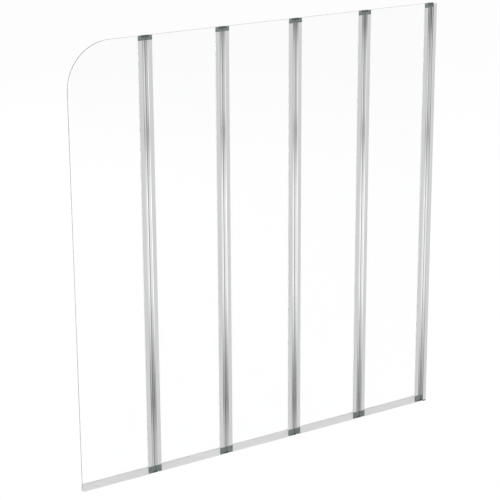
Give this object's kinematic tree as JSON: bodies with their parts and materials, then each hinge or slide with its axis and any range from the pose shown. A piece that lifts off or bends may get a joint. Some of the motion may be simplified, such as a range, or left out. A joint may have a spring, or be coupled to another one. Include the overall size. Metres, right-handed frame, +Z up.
{
  "type": "folding bath screen",
  "caption": "Frameless folding bath screen of clear glass panels on double-pivot hinge columns, with a wall profile and bottom seals",
  "frame": {"origin": "on the wall, at the foot of the wall profile and in the glass plane, level with the bath rim", "axes": "+X into the wall, +Y through the glass to the bath side, +Z up"},
  "size_m": [1.35, 0.017, 1.4],
  "materials": {
    "clear_glass": "polished clear toughened glass",
    "bright_aluminium": "bright anodised",
    "cap_plastic": "moulded satin grey",
    "link_plastic": "moulded satin dark grey",
    "light_plastic": "moulded satin",
    "seal_plastic": "soft translucent strip",
    "gasket_rubber": "smooth milky clear rubber",
    "steel": "turned stainless"
  },
  "bodies": {
    "wall_fixing": {"wall_profile": "bright_aluminium", "wall_hinge_profile": "bright_aluminium", "wall_hinge_caps": "cap_plastic", "wall_foot": "link_plastic", "wall_top_cover": "light_plastic", "wall_fixing_screws": "steel"},
    "link_1": {"link_strip_1": "bright_aluminium", "link_top_plate_1": "link_plastic", "link_bottom_plate_1": "link_plastic", "hinge_pins_1": "steel"},
    "panel_1": {"glass_1": "clear_glass", "inner_profile_1": "bright_aluminium", "outer_profile_1": "bright_aluminium", "end_caps_1": "cap_plastic", "glazing_gaskets_1": "gasket_rubber", "bottom_seal_1": "seal_plastic"},
    "link_2": {"link_strip_2": "bright_aluminium", "link_top_plate_2": "link_plastic", "link_bottom_plate_2": "link_plastic", "hinge_pins_2": "steel"},
    "panel_2": {"glass_2": "clear_glass", "inner_profile_2": "bright_aluminium", "outer_profile_2": "bright_aluminium", "end_caps_2": "cap_plastic", "glazing_gaskets_2": "gasket_rubber", "bottom_seal_2": "seal_plastic"},
    "link_3": {"link_strip_3": "bright_aluminium", "link_top_plate_3": "link_plastic", "link_bottom_plate_3": "link_plastic", "hinge_pins_3": "steel"},
    "panel_3": {"glass_3": "clear_glass", "inner_profile_3": "bright_aluminium", "outer_profile_3": "bright_aluminium", "end_caps_3": "cap_plastic", "glazing_gaskets_3": "gasket_rubber", "bottom_seal_3": "seal_plastic"},
    "link_4": {"link_strip_4": "bright_aluminium", "link_top_plate_4": "link_plastic", "link_bottom_plate_4": "link_plastic", "hinge_pins_4": "steel"},
    "panel_4": {"glass_4": "clear_glass", "inner_profile_4": "bright_aluminium", "outer_profile_4": "bright_aluminium", "end_caps_4": "cap_plastic", "glazing_gaskets_4": "gasket_rubber", "bottom_seal_4": "seal_plastic"},
    "link_5": {"link_strip_5": "bright_aluminium", "link_top_plate_5": "link_plastic", "link_bottom_plate_5": "link_plastic", "hinge_pins_5": "steel"},
    "panel_5": {"glass_5": "clear_glass", "inner_profile_5": "bright_aluminium", "end_caps_5": "cap_plastic", "glazing_gaskets_5": "gasket_rubber", "bottom_seal_5": "seal_plastic"}
  },
  "joints": [
    {"name": "hinge_1_inner", "type": "hinge", "parent": "wall_fixing", "child": "link_1", "pos_m": [-0.016, 0, 0.7], "axis": [0, 0, -1], "range_deg": [0, 45]},
    {"name": "hinge_1_outer", "type": "hinge", "parent": "link_1", "child": "panel_1", "pos_m": [-0.029, 0, 0.7], "axis": [0, 0, -1], "range_deg": [0, 45]},
    {"name": "hinge_2_inner", "type": "hinge", "parent": "panel_1", "child": "link_2", "pos_m": [-0.2835, 0, 0.7], "axis": [0, 0, 1], "range_deg": [0, 90]},
    {"name": "hinge_2_outer", "type": "hinge", "parent": "link_2", "child": "panel_2", "pos_m": [-0.2965, 0, 0.7], "axis": [0, 0, 1], "range_deg": [0, 90]},
    {"name": "hinge_3_inner", "type": "hinge", "parent": "panel_2", "child": "link_3", "pos_m": [-0.551, 0, 0.7], "axis": [0, 0, -1], "range_deg": [0, 90]},
    {"name": "hinge_3_outer", "type": "hinge", "parent": "link_3", "child": "panel_3", "pos_m": [-0.564, 0, 0.7], "axis": [0, 0, -1], "range_deg": [0, 90]},
    {"name": "hinge_4_inner", "type": "hinge", "parent": "panel_3", "child": "link_4", "pos_m": [-0.8185, 0, 0.7], "axis": [0, 0, 1], "range_deg": [0, 90]},
    {"name": "hinge_4_outer", "type": "hinge", "parent": "link_4", "child": "panel_4", "pos_m": [-0.8315, 0, 0.7], "axis": [0, 0, 1], "range_deg": [0, 90]},
    {"name": "hinge_5_inner", "type": "hinge", "parent": "panel_4", "child": "link_5", "pos_m": [-1.086, 0, 0.7], "axis": [0, 0, -1], "range_deg": [0, 90]},
    {"name": "hinge_5_outer", "type": "hinge", "parent": "link_5", "child": "panel_5", "pos_m": [-1.099, 0, 0.7], "axis": [0, 0, -1], "range_deg": [0, 90]}
  ]
}
